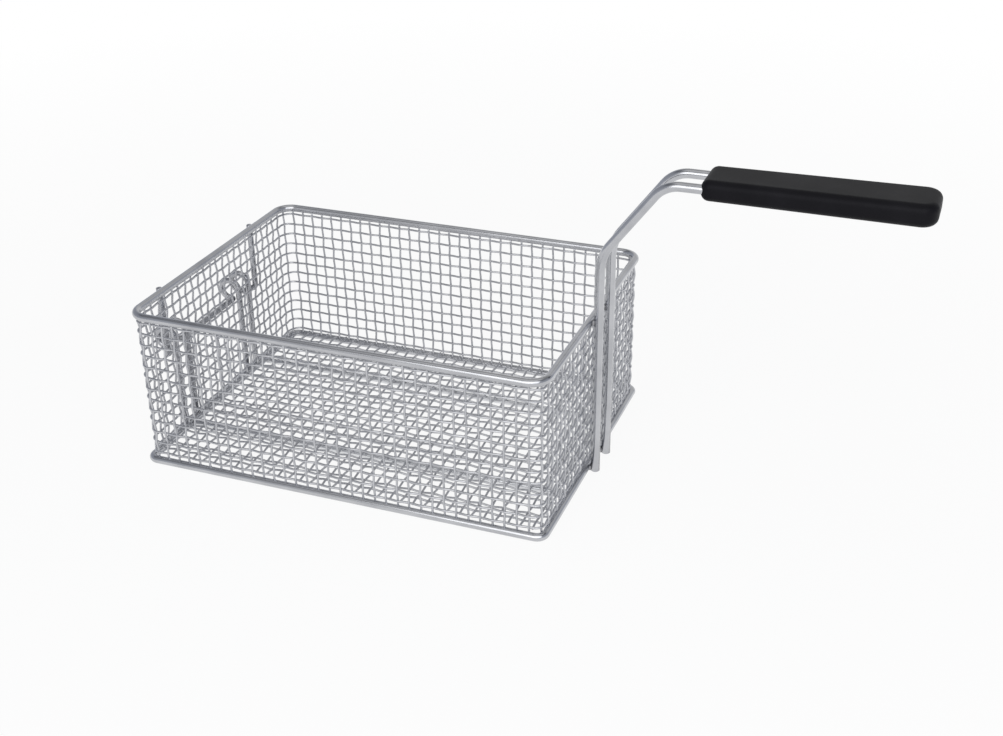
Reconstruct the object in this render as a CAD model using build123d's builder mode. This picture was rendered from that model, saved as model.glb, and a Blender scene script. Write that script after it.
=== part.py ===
from build123d import *
import os
from math import cos, radians, sin

# Deep fryer basket of woven wire between two welded wire rings.
# Millimetres. X runs along the basket towards the handle, Y across it, Z up.
# The origin is the middle of the basket on the surface that it stands on.

# Welded frame
basket_length = 290.0     # rim wire, centre to centre, along X
basket_width = 210.5      # rim wire, centre to centre, along Y
rim_height = 113.0        # centre of the rim wire above the ground
ring_wire = 5.5           # wire of the rim and of the bottom ring
rim_corner = 12.0         # of the rim, to the centre of the wire
ring_corner = 6.0         # of the bottom ring, to the centre of the wire
weld_gap = 0.2            # room left where one wire is welded to another

# Woven wire cloth, drawn with one gap for several of its meshes
mesh_wire = 1.5           # one strand, and so half of the cloth's thickness
mesh_inset = 1.0          # middle of the cloth, inside the centre of the rings
mesh_corner = 8.0         # of the walls, to the middle of the cloth
wall_pitch = 17.0         # between the upright strands drawn in the walls
floor_long_pitch = 13.7   # between the strands drawn along the floor
floor_cross_pitch = 35.6  # between the strands drawn across the floor
wall_rows = 5             # gaps from the bottom ring to the rim

# Runners under the floor
runner_wire = 4.0
runner_offset = 52.0      # from the middle of the basket, along Y

# Rear hanger, which holds the basket up on the edge of the tank to drain
hanger_wire = 4.5
inner_hook_offset = 37.0  # hooks joined by the cross bar, from the middle
outer_hook_offset = 51.0  # hooks that run on up to the rim
upright_offset = 61.5     # wires that go up to the rim
hook_height = 69.0        # middle of the hooks above the ground
hook_radius = 7.2         # of a hook, to the centre of the wire
turn_radius = 2.4         # sharpest bend of the hanger wire, to its centre
upright_rise = 0.5        # top of the uprights above the centre of the rim
foot_height = 0.6         # lower ends of legs above the ground

# Handle rod, one hairpin of wire
handle_wire = 6.2
handle_spacing = 25.0     # between the centres of its two sides
knee_height = 160.0       # where the upright legs lean out, before rounding
shoulder_reach = 39.3     # from the legs out to the upper bend, along X
handle_height = 212.2     # centre of the rod in the grip
knee_radius = 30.0
shoulder_radius = 20.0
return_radius = 11.5      # of the closed end inside the grip

# Grip, a sleeve over the closed end of the rod
grip_setback = 61.6       # from the legs to the near face of the grip
grip_length = 138.2
grip_width = 34.5         # at the near face
grip_end_width = 38.0     # at the free end, as if its corners were sharp
grip_thickness = 13.4     # at the near face
grip_rise = 1.0           # of the top, from the near face to the free end
grip_near_corner = 5.5    # corners at the near face, seen from above
grip_end_corner = 10.0    # corners at the free end, seen from above
grip_edge = 5.0           # rounding of the long edges
grip_cover = 8.0          # from the end of the rod to the end of the grip
grip_clearance = 0.15     # between the rod and its channel

# Planes and levels that several pieces share
half_length = basket_length / 2
half_width = basket_width / 2
ring_radius = ring_wire / 2
ring_top = ring_wire
rim_underside = rim_height - ring_radius
cloth_thickness = 2 * mesh_wire
wall_inside = mesh_inset + cloth_thickness / 2
wall_outside = mesh_inset - cloth_thickness / 2
wall_bottom = ring_top + weld_gap
wall_top = rim_underside - weld_gap
cloth_corner = mesh_corner + mesh_inset
floor_bottom = ring_top
floor_top = floor_bottom + cloth_thickness

os.makedirs("parts", exist_ok=True)


def save(piece, name):
    """Label a finished piece and write it under its own name."""
    piece.part.label = name
    export_step(piece.part, f"parts/{name}.step")


def rounded_band(outer_inset, inner_inset):
    """Sketch the strip between two outlines set in from the rings."""
    RectangleRounded(
        basket_length - 2 * outer_inset,
        basket_width - 2 * outer_inset,
        cloth_corner - outer_inset,
    )
    RectangleRounded(
        basket_length - 2 * inner_inset,
        basket_width - 2 * inner_inset,
        cloth_corner - inner_inset,
        mode=Mode.SUBTRACT,
    )


def round_wire(line, diameter, mode=Mode.ADD):
    """Sweep a round section of the given diameter along a path."""
    with BuildSketch(Plane(origin=line @ 0, z_dir=line % 0), mode=Mode.PRIVATE) as disc:
        Circle(diameter / 2)
    sweep(disc.sketch, path=line, mode=mode)


# Rim and bottom ring: the same rounded rectangle of wire at two heights
def wire_ring(name, height, corner):
    """Build one closed ring of wire with its centre line at a height."""
    with BuildPart() as ring:
        with BuildSketch(Plane.XY.offset(height), mode=Mode.PRIVATE) as outline:
            RectangleRounded(basket_length, basket_width, corner)
        round_wire(outline.sketch.face().outer_wire(), ring_wire)
    save(ring, name)


wire_ring("top_rim", rim_height, rim_corner)
wire_ring("bottom_ring", ring_radius, ring_corner)

# Walls: one band of cloth that goes round the four corners
wall_height = wall_top - wall_bottom
row_pitch = (wall_height - mesh_wire) / wall_rows
gap_height = row_pitch - mesh_wire
wall_middle = (wall_bottom + wall_top) / 2
long_run = basket_length - 2 * cloth_corner
short_run = basket_width - 2 * cloth_corner
long_columns = round(long_run / wall_pitch)
short_columns = round(short_run / wall_pitch)
long_step = long_run / long_columns
short_step = short_run / short_columns
web_outside = mesh_inset - mesh_wire / 2
web_inside = mesh_inset + mesh_wire / 2
cut_depth = 4 * cloth_thickness
corner_reach = cloth_corner - mesh_inset
corner_gap = corner_reach * sin(radians(45)) * 2 - mesh_wire
x_wall = half_length - mesh_inset
y_wall = half_width - mesh_inset
x_corner = half_length - cloth_corner
y_corner = half_width - cloth_corner
x_ridge = half_length - (wall_outside + web_outside) / 2
y_ridge = half_width - (wall_outside + web_outside) / 2
ridge_depth = web_outside - wall_outside

with BuildPart() as wall_mesh:
    # Web of the cloth, half of its thickness
    with BuildSketch(Plane.XY.offset(wall_bottom)):
        rounded_band(web_outside, web_inside)
    extrude(amount=wall_height)
    # Strands that run round the basket stand proud inside
    for row in range(wall_rows + 1):
        with BuildSketch(Plane.XY.offset(wall_bottom + row * row_pitch)):
            rounded_band(web_outside, wall_inside)
        extrude(amount=mesh_wire)
    # Upright strands stand proud outside
    for side in (-1, 1):
        with Locations((0, side * y_ridge, wall_middle)):
            with GridLocations(long_step, 1, long_columns + 1, 1):
                Box(mesh_wire, ridge_depth, wall_height)
        with Locations((side * x_ridge, 0, wall_middle)):
            with GridLocations(1, short_step, 1, short_columns + 1):
                Box(ridge_depth, mesh_wire, wall_height)
    # Gaps of the long sides, the ends and the corners
    with Locations(Plane(origin=(0, 0, wall_middle), x_dir=(1, 0, 0), z_dir=(0, -1, 0))):
        with GridLocations(long_step, row_pitch, long_columns, wall_rows):
            Box(long_step - mesh_wire, gap_height, 2 * basket_width, mode=Mode.SUBTRACT)
    with Locations(Plane(origin=(0, 0, wall_middle), x_dir=(0, 1, 0), z_dir=(1, 0, 0))):
        with GridLocations(short_step, row_pitch, short_columns, wall_rows):
            Box(short_step - mesh_wire, gap_height, 2 * basket_length, mode=Mode.SUBTRACT)
    for turn, x, y in ((45, x_corner, y_corner), (135, -x_corner, y_corner),
                       (225, -x_corner, -y_corner), (315, x_corner, -y_corner)):
        out = (cos(radians(turn)), sin(radians(turn)), 0)
        middle = (x + corner_reach * out[0], y + corner_reach * out[1], wall_middle)
        with Locations(Plane(origin=middle, x_dir=(-out[1], out[0], 0), z_dir=out)):
            with GridLocations(1, row_pitch, 1, wall_rows):
                Box(corner_gap, gap_height, cut_depth, mode=Mode.SUBTRACT)
save(wall_mesh, "wall_mesh")

# Floor: a flat panel of the same cloth inside the walls
floor_inset = wall_inside + weld_gap
floor_length = basket_length - 2 * floor_inset
floor_width = basket_width - 2 * floor_inset
floor_columns = round(floor_length / floor_cross_pitch)
floor_lines = round(floor_width / floor_long_pitch)
column_step = (floor_length - mesh_wire) / floor_columns
line_step = (floor_width - mesh_wire) / floor_lines
web_bottom = floor_bottom + mesh_wire / 2
ridge_height = mesh_wire / 2
floor_corner = cloth_corner - floor_inset

with BuildPart() as floor_mesh:
    with BuildSketch(Plane.XY.offset(web_bottom)):
        RectangleRounded(floor_length, floor_width, floor_corner)
        with GridLocations(column_step, line_step, floor_columns, floor_lines):
            Rectangle(column_step - mesh_wire, line_step - mesh_wire, mode=Mode.SUBTRACT)
    extrude(amount=mesh_wire)
    # Strands along the basket stand proud below, strands across it above
    with BuildSketch(Plane.XY.offset(floor_bottom)):
        with GridLocations(1, line_step, 1, floor_lines - 1):
            Rectangle(floor_length - 2 * floor_corner, mesh_wire)
    extrude(amount=ridge_height)
    with BuildSketch(Plane.XY.offset(floor_top - ridge_height)):
        with GridLocations(column_step, 1, floor_columns - 1, 1):
            Rectangle(mesh_wire, floor_width - 2 * floor_corner)
    extrude(amount=ridge_height)
save(floor_mesh, "floor_mesh")

# Runners: straight wires under the floor, between the ends of the ring
runner_end = half_length - ring_radius - weld_gap
runner_height = floor_bottom - weld_gap - runner_wire / 2

for side, name in ((-1, "front_runner"), (1, "back_runner")):
    with BuildPart() as runner:
        with BuildSketch(Plane.YZ.offset(-runner_end)):
            with Locations((side * runner_offset, runner_height)):
                Circle(runner_wire / 2)
        extrude(amount=2 * runner_end)
    save(runner, name)

# Rear hanger: legs welded outside the end wall, each rolled over into a hook
leg_x = -(half_length + ring_radius + weld_gap + hanger_wire / 2)
bar_x = leg_x - hanger_wire - weld_gap
hook_x = leg_x - hook_radius
bar_height = hook_height - hook_radius
upright_top = rim_height + upright_rise


def hook_line(offset):
    """Draw a leg that stands at offset along Y, and the hook over its top."""
    leg = Line((leg_x, offset, foot_height), (leg_x, offset, hook_height))
    over = ThreePointArc(
        leg @ 1,
        (hook_x, offset, hook_height + hook_radius),
        (hook_x - hook_radius, offset, hook_height),
    )
    swing = hook_radius * cos(radians(45))
    ThreePointArc(
        over @ 1,
        (hook_x - swing, offset, hook_height - swing),
        (hook_x, offset, bar_height),
    )


with BuildPart() as hanger_bar:
    with BuildLine() as centre_line:
        hook_line(-inner_hook_offset)
        FilletPolyline(
            (hook_x, -inner_hook_offset, bar_height),
            (bar_x, -inner_hook_offset, bar_height),
            (bar_x, inner_hook_offset, bar_height),
            (hook_x, inner_hook_offset, bar_height),
            radius=turn_radius,
        )
        hook_line(inner_hook_offset)
    round_wire(centre_line.wire(), hanger_wire)
save(hanger_bar, "hanger_bar")

for side, name in ((-1, "front_hanger"), (1, "back_hanger")):
    with BuildPart() as hanger:
        with BuildLine() as centre_line:
            hook_line(side * outer_hook_offset)
            FilletPolyline(
                (hook_x, side * outer_hook_offset, bar_height),
                (bar_x, side * outer_hook_offset, bar_height),
                (leg_x, side * upright_offset, bar_height),
                (leg_x, side * upright_offset, upright_top),
                radius=turn_radius,
            )
        round_wire(centre_line.wire(), hanger_wire)
    save(hanger, name)

# Handle: one hairpin of rod, welded to both rings at the other end
rod_x = half_length + ring_radius + weld_gap + handle_wire / 2
rod_y = handle_spacing / 2
grip_start = rod_x + grip_setback
grip_end = grip_start + grip_length
return_x = grip_end - grip_cover - handle_wire / 2


def handle_line():
    """Draw the centre line of the rod from one foot to the other."""
    return FilletPolyline(
        (rod_x, -rod_y, foot_height),
        (rod_x, -rod_y, knee_height),
        (rod_x + shoulder_reach, -rod_y, handle_height),
        (return_x, -rod_y, handle_height),
        (return_x, rod_y, handle_height),
        (rod_x + shoulder_reach, rod_y, handle_height),
        (rod_x, rod_y, knee_height),
        (rod_x, rod_y, foot_height),
        radius=[knee_radius, shoulder_radius, return_radius,
                return_radius, shoulder_radius, knee_radius],
    )


with BuildPart() as handle_rod:
    with BuildLine() as centre_line:
        handle_line()
    round_wire(centre_line.line, handle_wire)
save(handle_rod, "handle_rod")

# Grip: a rounded bar that widens and thickens towards its free end
grip_bottom = handle_height - grip_thickness / 2
grip_top = handle_height + grip_thickness / 2

with BuildPart() as grip:
    with BuildSketch(Plane.XY.offset(grip_bottom)):
        with BuildLine():
            Polyline(
                (grip_start, -grip_width / 2),
                (grip_end, -grip_end_width / 2),
                (grip_end, grip_end_width / 2),
                (grip_start, grip_width / 2),
                close=True,
            )
        make_face()
    extrude(amount=2 * grip_thickness)
    fillet(grip.edges().filter_by(Axis.Z).group_by(Axis.X)[0], grip_near_corner)
    fillet(grip.edges().filter_by(Axis.Z).group_by(Axis.X)[-1], grip_end_corner)
    # The side profile, which gives the slope of the top
    with BuildSketch(Plane.XZ):
        with BuildLine():
            Polyline(
                (grip_start, grip_bottom),
                (grip_end, grip_bottom),
                (grip_end, grip_top + grip_rise),
                (grip_start, grip_top),
                close=True,
            )
        make_face()
    extrude(amount=grip_end_width, both=True, mode=Mode.INTERSECT)
    fillet(grip.faces().sort_by(Axis.Z)[-1].edges(), grip_edge)
    fillet(grip.faces().sort_by(Axis.Z)[0].edges(), grip_edge)
    # The channel for the hairpin
    with BuildLine() as centre_line:
        handle_line()
    round_wire(centre_line.wire(), handle_wire + 2 * grip_clearance, Mode.SUBTRACT)
save(grip, "grip")
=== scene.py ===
"""Looks of a deep fryer basket: woven wire cloth, welded wire and a black grip.

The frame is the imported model's: +X runs along the basket towards the handle,
+Y goes to its back and +Z up, from the ground. Sizes of the basket are in
millimetres, and meshes, lamps and the camera are in metres.
"""
import logging
import math
from dataclasses import dataclass
from enum import Enum
from typing import Any, Iterable, Iterator, Optional, Sequence, Union

import bpy
import numpy as np
from mathutils import Matrix


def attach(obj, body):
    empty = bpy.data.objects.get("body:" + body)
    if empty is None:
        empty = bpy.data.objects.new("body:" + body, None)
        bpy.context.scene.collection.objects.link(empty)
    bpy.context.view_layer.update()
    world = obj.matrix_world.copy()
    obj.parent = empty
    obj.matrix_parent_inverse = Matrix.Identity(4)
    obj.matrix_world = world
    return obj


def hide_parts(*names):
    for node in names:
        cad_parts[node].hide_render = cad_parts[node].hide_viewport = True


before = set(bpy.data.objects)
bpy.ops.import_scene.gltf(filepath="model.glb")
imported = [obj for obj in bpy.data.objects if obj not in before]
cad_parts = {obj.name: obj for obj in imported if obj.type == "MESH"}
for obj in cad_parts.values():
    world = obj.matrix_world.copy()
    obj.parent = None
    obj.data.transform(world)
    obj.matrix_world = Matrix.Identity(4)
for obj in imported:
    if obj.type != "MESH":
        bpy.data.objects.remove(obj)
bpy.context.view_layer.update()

log = logging.getLogger("basket")

MM = 0.001
BODY = "root"
LAY = "wire_lay"            # attribute: run along a wire, then across it twice
END_BEVEL = 0.35            # chamfer at the cut ends of a wire, in millimetres
SAME_PLACE = 1e-6           # points of a line nearer than this are one point
UP = np.array([0.0, 0.0, 1.0])
SIDES = (-1, 1)             # the front and the back, or the two ends
Array = np.ndarray
Colour = tuple[float, float, float]


# Shader maths
class Term:
    """A value that varies over a surface, held as the socket that gives it."""

    def __init__(self, graph: "Graph", socket: Optional[bpy.types.NodeSocket]) -> None:
        """Wrap one output socket of a node, or none for a node that has no output."""
        self.graph = graph
        self.socket = socket

    def _math(self, operation: str, first: Any, second: Any = None,
              clamp: bool = False) -> "Term":
        """Add one Math node.

        Args:
            operation: The node's operation.
            first: The first number or term.
            second: The second, if the operation takes two.
            clamp: Whether the result is held between 0 and 1.

        Returns:
            The result.
        """
        values = {0: first} if second is None else {0: first, 1: second}
        settings = {"operation": operation, "use_clamp": clamp}
        return self.graph.add("ShaderNodeMath", settings, values)

    def __add__(self, other: Any) -> "Term":
        """Sum with a number or a term."""
        return self._math("ADD", self, other)

    def __sub__(self, other: Any) -> "Term":
        """Difference from a number or a term."""
        return self._math("SUBTRACT", self, other)

    def __rsub__(self, other: Any) -> "Term":
        """Difference of a number and this term."""
        return self._math("SUBTRACT", other, self)

    def __mul__(self, other: Any) -> "Term":
        """Product with a number or a term."""
        return self._math("MULTIPLY", self, other)

    def __truediv__(self, other: Any) -> "Term":
        """Quotient by a number or a term."""
        return self._math("DIVIDE", self, other)

    __radd__ = __add__
    __rmul__ = __mul__

    def held(self) -> "Term":
        """Limit the value to the range from 0 to 1."""
        return self._math("ADD", self, 0.0, clamp=True)


Input = Union[Term, Sequence[float]]


class Graph:
    """A node tree with one short way to add any node."""

    def __init__(self, owner: Any) -> None:
        """Empty the node tree of a material or a world.

        Args:
            owner: The material or world whose nodes are to be built.
        """
        owner.use_nodes = True
        self.tree = owner.node_tree
        self.tree.nodes.clear()

    def add(self, kind: str, settings: Optional[dict] = None,
            values: Optional[dict] = None, output: Union[int, str] = 0) -> Term:
        """Add a node.

        Args:
            kind: The node's type name.
            settings: Its properties, set first. "stops" gives a ramp's
                places and colours.
            values: Numbers, colours or links for its input sockets, by their
                name or place.
            output: The socket that the returned term stands for.

        Returns:
            The chosen output of the new node.
        """
        node = self.tree.nodes.new(kind)
        for name, value in (settings or {}).items():
            if name == "stops":
                self._set_stops(node.color_ramp, value)
            else:
                setattr(node, name, value)
        for key, value in (values or {}).items():
            socket = node.inputs[key]
            if isinstance(value, Term):
                self.tree.links.new(value.socket, socket)
            else:
                socket.default_value = value
        if not len(node.outputs):
            return Term(self, None)
        return Term(self, node.outputs[output])

    @staticmethod
    def _set_stops(ramp: bpy.types.ColorRamp, stops: Sequence[tuple]) -> None:
        """Give a colour ramp its stops.

        Args:
            ramp: The ramp.
            stops: Places and colours, from 0 to 1.
        """
        while len(ramp.elements) < len(stops):
            ramp.elements.new(1.0)
        for element, (place, colour) in zip(ramp.elements, stops):
            element.position = place
            element.color = (*colour, 1.0)

    def noise(self, vector: Term, scale: float, detail: float = 2.0,
              roughness: float = 0.5) -> Term:
        """Add soft noise between 0 and 1 at a number of cells per metre."""
        values = {"Vector": vector, "Scale": scale, "Detail": detail,
                  "Roughness": roughness}
        return self.add("ShaderNodeTexNoise", {"noise_dimensions": "3D"}, values)

    def stretch(self, vector: Term, factors: Sequence[float]) -> Term:
        """Multiply a vector by one factor for each of its directions."""
        return self.add("ShaderNodeVectorMath", {"operation": "MULTIPLY"},
                        {0: vector, 1: factors})

    def ramp(self, factor: Term, stops: Sequence[tuple]) -> Term:
        """Turn a value into a colour along a ramp of stops."""
        return self.add("ShaderNodeValToRGB", {"stops": stops}, {"Fac": factor})

    def blend(self, factor: Term, first: Input, second: Input) -> Term:
        """Mix two colours by a factor."""
        return self.add("ShaderNodeMix", {"data_type": "RGBA"},
                        {"Factor": factor, 6: first, 7: second}, 2)

    def bump(self, height: Term, distance: float, strength: float) -> Term:
        """Turn a height into a bent normal."""
        values = {"Height": height, "Distance": distance, "Strength": strength}
        return self.add("ShaderNodeBump", None, values)

    def finish(self, shader: dict) -> None:
        """Close a material with a Principled shader.

        Args:
            shader: Values or links for the shader's sockets.
        """
        surface = self.add("ShaderNodeBsdfPrincipled", None, shader)
        self.add("ShaderNodeOutputMaterial", None, {"Surface": surface})


def grey(value: float) -> Colour:
    """Give a neutral colour of one brightness."""
    return (value, value, value)


# Finishes
@dataclass(frozen=True)
class PlatedWire:
    """Bright nickel over drawn steel wire, with faint draw lines.

    Colour, roughness and bump follow the wire: their noise is stretched
    along its run, as the die that drew it leaves it. The scales of this and
    the other finishes count cells of noise per metre.
    """

    name: str
    bright: Colour = (0.53, 0.537, 0.56)
    dull: Colour = (0.44, 0.447, 0.47)
    smooth: float = 0.10
    rough: float = 0.26
    line_scale: tuple[float, float, float] = (60.0, 2600.0, 2600.0)
    cloud_scale: float = 45.0
    cloud_range: tuple[float, float] = (0.38, 0.72)
    pit_scale: float = 1900.0
    cloud_share: float = 0.55
    line_share: float = 0.7
    line_depth: float = 0.02 * MM
    line_strength: float = 0.6

    def make(self) -> bpy.types.Material:
        """Build the material.

        Returns:
            The finished material.
        """
        material = bpy.data.materials.new(self.name)
        graph = Graph(material)
        lay = graph.add("ShaderNodeAttribute", {"attribute_name": LAY}, None, "Vector")
        place = graph.add("ShaderNodeTexCoord", None, None, "Object")
        lines = graph.noise(graph.stretch(lay, self.line_scale), scale=1.0, detail=3.0,
                            roughness=0.6)
        clouds = graph.noise(place, self.cloud_scale, detail=3.0, roughness=0.55)
        pits = graph.noise(place, self.pit_scale, detail=1.0)
        first, last = self.cloud_range
        dulling = graph.ramp(clouds, ((first, grey(0.0)), (last, grey(1.0))))
        colour = graph.blend(dulling, (*self.bright, 1.0), (*self.dull, 1.0))
        uneven = self.cloud_share * clouds + (1 - self.cloud_share) * lines
        rough = self.smooth + (self.rough - self.smooth) * uneven
        height = self.line_share * lines + (1 - self.line_share) * pits
        graph.finish({
            "Base Color": colour,
            "Metallic": 1.0,
            "Roughness": rough,
            "Normal": graph.bump(height, self.line_depth, self.line_strength),
        })
        return material


class WireFinish(Enum):
    """Roughness of the plating on each kind of wire, and painted light in its colour: lighter
    on the cloth and the runners to offset the shade they lie in, darker on the hangers as
    painted shade.
    """

    FRAME = PlatedWire("plated_wire")
    # Painted light: the cloth's colour is lighter than the frame's to offset the shade between
    # its strands.
    CLOTH_PAINTED_LIGHT = PlatedWire("plated_cloth", bright=(0.56, 0.567, 0.592),
                       dull=(0.47, 0.478, 0.502), smooth=0.26, rough=0.40)
    # Painted shade: the hanger wires get a darker colour than the frame for the shade they lie
    # in behind the end wall.
    HANGER_PAINTED_SHADE = PlatedWire("plated_hanger_painted_shade", bright=(0.44, 0.446, 0.467),
                        dull=(0.36, 0.366, 0.387), smooth=0.18, rough=0.34)
    # Painted light: the runners get a lighter colour than the frame to offset the shade of the
    # floor cloth above them.
    RUNNER_PAINTED_LIGHT = PlatedWire("plated_runner_painted_light", bright=(0.72, 0.73, 0.75),
                        dull=(0.61, 0.62, 0.64), smooth=0.20, rough=0.34)


@dataclass(frozen=True)
class WeldMetal:
    """Plated weld metal: rippled, and darker and duller than the wire."""

    name: str = "plated_weld"
    patch_scale: float = 420.0
    grain_scale: float = 2400.0
    patches: tuple[tuple[float, Colour], ...] = (
        (0.3, (0.20, 0.20, 0.21)), (0.5, (0.34, 0.34, 0.35)), (0.75, (0.52, 0.52, 0.54)))
    smooth: float = 0.30
    grain_roughness: float = 0.25
    grain_share: float = 0.4
    ripple_depth: float = 0.12 * MM
    ripple_strength: float = 0.5

    def make(self) -> bpy.types.Material:
        """Build the material.

        Returns:
            The finished material.
        """
        material = bpy.data.materials.new(self.name)
        graph = Graph(material)
        place = graph.add("ShaderNodeTexCoord", None, None, "Object")
        patches = graph.noise(place, self.patch_scale, detail=3.0, roughness=0.6)
        grain = graph.noise(place, self.grain_scale)
        height = patches + self.grain_share * grain
        graph.finish({
            "Base Color": graph.ramp(patches, self.patches),
            "Metallic": 1.0,
            "Roughness": self.smooth + self.grain_roughness * grain,
            "Normal": graph.bump(height, self.ripple_depth, self.ripple_strength),
        })
        return material


@dataclass(frozen=True)
class GripPlastic:
    """Soft black plastic with a fine moulded grain and rubbed patches laid out by noise."""

    name: str = "grip_plastic"
    base: Colour = (0.0038, 0.0037, 0.0050)
    rubbed: Colour = (0.0060, 0.0058, 0.0076)
    gloss_level: float = 0.13
    gloss_tint: Colour = (0.93, 0.92, 1.0)
    rough: float = 0.50
    handling_polish: float = 0.08
    grain_roughness: float = 0.06
    grain_scale: float = 2600.0
    grain_depth: float = 0.05 * MM
    grain_strength: float = 0.35
    handling_scale: float = 38.0
    handling_range: tuple[float, float] = (0.42, 0.66)

    def make(self) -> bpy.types.Material:
        """Build the material.

        Returns:
            The finished material.
        """
        material = bpy.data.materials.new(self.name)
        graph = Graph(material)
        place = graph.add("ShaderNodeTexCoord", None, None, "Object")
        grain = graph.noise(place, self.grain_scale, roughness=0.6)
        handling = graph.noise(place, self.handling_scale, detail=3.0, roughness=0.6)
        first, last = self.handling_range
        rubbing = graph.ramp(handling, ((first, grey(0.0)), (last, grey(1.0))))
        colour = graph.blend(rubbing, (*self.base, 1.0), (*self.rubbed, 1.0))
        rough = self.rough - self.handling_polish * handling + self.grain_roughness * grain
        graph.finish({
            "Base Color": colour,
            "Roughness": rough,
            "Specular IOR Level": self.gloss_level,
            "Specular Tint": (*self.gloss_tint, 1.0),
            "Normal": graph.bump(grain, self.grain_depth, self.grain_strength),
        })
        return material


# Mesh building
@dataclass
class Skin:
    """Points and faces of a surface, and where each point lies on its wire.

    Points are in metres. Each block of faces holds one line of point numbers
    for each face, with as many corners as the block has columns.
    """

    points: Array
    faces: list[Array]
    lay: Optional[Array] = None

    @staticmethod
    def joined(parts: Iterable["Skin"]) -> "Skin":
        """Put several skins into one, with their points numbered on.

        Args:
            parts: Skins that keep no place on a wire.

        Returns:
            The one skin.
        """
        points, faces, start = [], [], 0
        for part in parts:
            points.append(part.points)
            faces.extend(block + start for block in part.faces)
            start += len(part.points)
        return Skin(np.concatenate(points), faces)

    def to_object(self, name: str) -> bpy.types.Object:
        """Make a Blender object with smooth faces at the origin.

        Args:
            name: The piece's name.

        Returns:
            The new object, linked to the scene.
        """
        mesh = bpy.data.meshes.new(name)
        sizes = np.concatenate([np.full(len(block), block.shape[1]) for block in self.faces])
        corners = np.concatenate([block.ravel() for block in self.faces])
        mesh.vertices.add(len(self.points))
        mesh.vertices.foreach_set("co", self.points.astype(np.float32).ravel())
        mesh.loops.add(len(corners))
        mesh.loops.foreach_set("vertex_index", corners.astype(np.int32))
        mesh.polygons.add(len(sizes))
        starts = np.concatenate([[0], np.cumsum(sizes)[:-1]])
        mesh.polygons.foreach_set("loop_start", starts.astype(np.int32))
        mesh.polygons.foreach_set("use_smooth", np.ones(len(sizes), dtype=bool))
        mesh.update(calc_edges=True)
        if self.lay is not None:
            layer = mesh.attributes.new(LAY, "FLOAT_VECTOR", "POINT")
            layer.data.foreach_set("vector", self.lay.astype(np.float32).ravel())
        mesh.validate()
        piece = bpy.data.objects.new(name, mesh)
        bpy.context.scene.collection.objects.link(piece)
        return piece


def grid_faces(rows: int, columns: int, wrap_rows: bool, wrap_columns: bool) -> Array:
    """Number the four corners of each face of a grid of points.

    Args:
        rows: Points along the first direction.
        columns: Points along the second direction.
        wrap_rows: Whether the last row joins the first.
        wrap_columns: Whether the last column joins the first.

    Returns:
        One line of four point numbers for each face.
    """
    row = np.arange(rows if wrap_rows else rows - 1)[:, None]
    column = np.arange(columns if wrap_columns else columns - 1)[None, :]
    next_row, next_column = (row + 1) % rows, (column + 1) % columns
    corners = (row * columns + column, row * columns + next_column,
               next_row * columns + next_column, next_row * columns + column)
    return np.stack(np.broadcast_arrays(*corners), axis=-1).reshape(-1, 4)


class Run:
    """A centre line made of straight stretches and arcs that meet smoothly."""

    def __init__(self, start: Sequence[float], arc_step: float) -> None:
        """Start a line at a point in millimetres.

        Args:
            start: The first point.
            arc_step: The greatest turn between two points of an arc, in
                degrees.
        """
        self.blocks = [np.array([start], dtype=float)]
        self.arc_step = arc_step

    @property
    def end(self) -> Array:
        """The last point so far."""
        return self.blocks[-1][-1]

    def straight(self, point: Sequence[float]) -> "Run":
        """Go on in a straight line to a point."""
        self.blocks.append(np.array([point], dtype=float))
        return self

    def arc(self, centre: Sequence[float], axis: Sequence[float],
            degrees: float) -> "Run":
        """Turn about an axis through a centre.

        A point p of the arc is c + (s - c) cos a + (k x (s - c)) sin a, for the
        centre c, the last point s, the unit axis k and angles a from 0 up.

        Args:
            centre: A point on the axis, level with the arc.
            axis: The direction of the axis.
            degrees: How far to turn, right-handed.

        Returns:
            This run.
        """
        steps = max(2, math.ceil(abs(degrees) / self.arc_step))
        angles = np.radians(np.linspace(0.0, degrees, steps + 1)[1:, None])
        arm = self.end - np.asarray(centre, dtype=float)
        across = np.cross(np.asarray(axis, dtype=float), arm)
        turned = arm * np.cos(angles) + across * np.sin(angles)
        self.blocks.append(np.asarray(centre, dtype=float) + turned)
        return self

    def through(self, corners: Sequence[Sequence[float]], last: Sequence[float],
                radii: Sequence[float]) -> "Run":
        """Go round corners with arcs of given radii, and on to a last point.

        At a corner where the line turns by t, the arc of radius r starts
        r tan(t / 2) before it, and its centre is r away at right angles to
        the line that comes in, towards the line that goes out.

        Args:
            corners: The sharp corners of the line.
            last: Where the line ends.
            radii: The radius at each corner.

        Returns:
            This run.
        """
        points = [np.asarray(p, dtype=float) for p in (*corners, last)]
        for corner, after, radius in zip(points, points[1:], radii):
            coming = corner - self.end
            coming /= np.linalg.norm(coming)
            going = (after - corner) / np.linalg.norm(after - corner)
            turn = math.acos(float(np.clip(coming @ going, -1.0, 1.0)))
            self.straight(corner - coming * radius * math.tan(turn / 2))
            axis = np.cross(coming, going)
            axis /= np.linalg.norm(axis)
            centre = self.end + np.cross(axis, coming) * radius
            self.arc(centre, axis, math.degrees(turn))
        return self.straight(points[-1])

    def points(self) -> Array:
        """Give all points in order, without doubles.

        Returns:
            The points, in millimetres.
        """
        line = np.concatenate(self.blocks)
        apart = np.linalg.norm(np.diff(line, axis=0), axis=1) > SAME_PLACE
        return line[np.concatenate([[True], apart])]


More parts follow.
